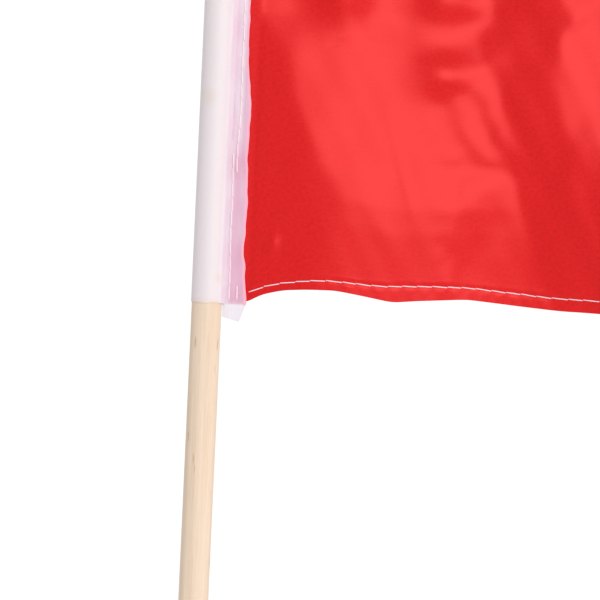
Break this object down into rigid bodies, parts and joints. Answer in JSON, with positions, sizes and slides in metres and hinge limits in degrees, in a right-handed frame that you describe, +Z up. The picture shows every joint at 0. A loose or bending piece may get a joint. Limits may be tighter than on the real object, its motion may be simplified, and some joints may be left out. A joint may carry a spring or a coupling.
{
  "type": "hand signal flag",
  "caption": "Red satin hand signal flag sewn to a white pole sleeve that turns on a plain pale wooden pole.",
  "frame": {"origin": "centre of the flat butt end at the pole's foot, on the pole's axis", "axes": "+Z up the pole, +X from the pole towards the fly edge, front face of the flag towards -Y"},
  "size_m": [0.4609, 0.0215, 0.6083],
  "materials": {
    "wood": "plain turned pale softwood, unvarnished",
    "sleeve_cloth": "thin white woven polyester, slightly translucent",
    "flag_cloth": "red polyester satin with a soft sheen",
    "thread": "white polyester sewing thread"
  },
  "bodies": {
    "pole": {"pole": "wood"},
    "sleeve": {"flag_hoist_strip": "flag_cloth", "foot_tack_thread_back": "thread", "foot_tack_thread_front": "thread", "seam_thread_lower_back": "thread", "seam_thread_lower_front": "thread", "seam_thread_upper_back": "thread", "seam_thread_upper_front": "thread", "sleeve": "sleeve_cloth", "top_closure_thread_back": "thread", "top_closure_thread_front": "thread"},
    "panel_1": {"bottom_hem_thread_back_1": "thread", "bottom_hem_thread_front_1": "thread", "flag_panel_1": "flag_cloth", "top_hem_thread_back_1": "thread", "top_hem_thread_front_1": "thread"},
    "panel_2": {"bottom_hem_thread_back_2": "thread", "bottom_hem_thread_front_2": "thread", "flag_panel_2": "flag_cloth", "top_hem_thread_back_2": "thread", "top_hem_thread_front_2": "thread"},
    "panel_3": {"bottom_hem_thread_back_3": "thread", "bottom_hem_thread_front_3": "thread", "flag_panel_3": "flag_cloth", "top_hem_thread_back_3": "thread", "top_hem_thread_front_3": "thread"},
    "panel_4": {"bottom_hem_thread_back_4": "thread", "bottom_hem_thread_front_4": "thread", "flag_panel_4": "flag_cloth", "top_hem_thread_back_4": "thread", "top_hem_thread_front_4": "thread"},
    "panel_5": {"bottom_hem_thread_back_5": "thread", "bottom_hem_thread_front_5": "thread", "flag_panel_5": "flag_cloth", "fly_hem_thread_back": "thread", "fly_hem_thread_front": "thread", "top_hem_thread_back_5": "thread", "top_hem_thread_front_5": "thread"}
  },
  "joints": [
    {"name": "sleeve_turn", "type": "hinge", "parent": "pole", "child": "sleeve", "pos_m": [0, 0, 0.4583], "axis": [0, 0, 1], "continuous": true},
    {"name": "seam_fold", "type": "hinge", "parent": "sleeve", "child": "panel_1", "pos_m": [0.01099, 0, 0.4583], "axis": [0, 0, 1], "range_deg": [-90, 90]},
    {"name": "bend_1", "type": "hinge", "parent": "panel_1", "child": "panel_2", "pos_m": [0.09963, 0.00464, 0.4583], "axis": [0, 0, 1], "range_deg": [-45, 45]},
    {"name": "bend_2", "type": "hinge", "parent": "panel_2", "child": "panel_3", "pos_m": [0.18805, -0.00309, 0.4583], "axis": [0, 0, 1], "range_deg": [-45, 45]},
    {"name": "bend_3", "type": "hinge", "parent": "panel_3", "child": "panel_4", "pos_m": [0.27615, -0.01391, 0.4583], "axis": [0, 0, 1], "range_deg": [-45, 45]},
    {"name": "bend_4", "type": "hinge", "parent": "panel_4", "child": "panel_5", "pos_m": [0.36469, -0.00772, 0.4583], "axis": [0, 0, 1], "range_deg": [-45, 45]}
  ]
}
